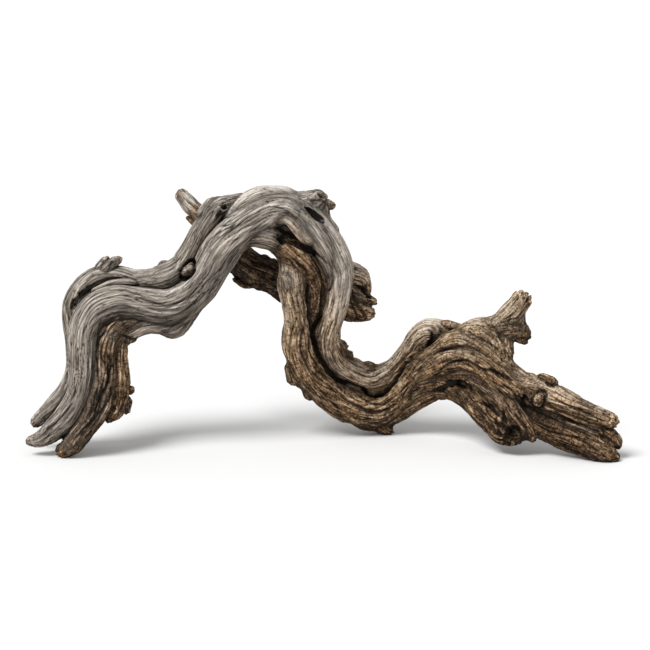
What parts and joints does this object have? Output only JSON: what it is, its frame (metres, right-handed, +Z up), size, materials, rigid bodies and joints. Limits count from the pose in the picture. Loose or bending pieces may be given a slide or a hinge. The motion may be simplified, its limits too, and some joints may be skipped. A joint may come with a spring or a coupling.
{
  "type": "piece of driftwood",
  "caption": "Gnarled length of weathered root wood with an arched limb, a twisted trunk bending along the ground and a clump of broken fingers.",
  "frame": {"origin": "centre of the bounding box's footprint, on the surface that the wood stands on", "axes": "+X along the length, from the grey arched limb to the broken fingers; +Y to the back; +Z up"},
  "size_m": [0.5915, 0.1433, 0.2633],
  "materials": {
    "wood": "weathered bare wood, grey on the arched limb and brown on the bend and fingers, with dark grooves"
  },
  "bodies": {
    "root": {"driftwood": "wood"}
  },
  "joints": []
}
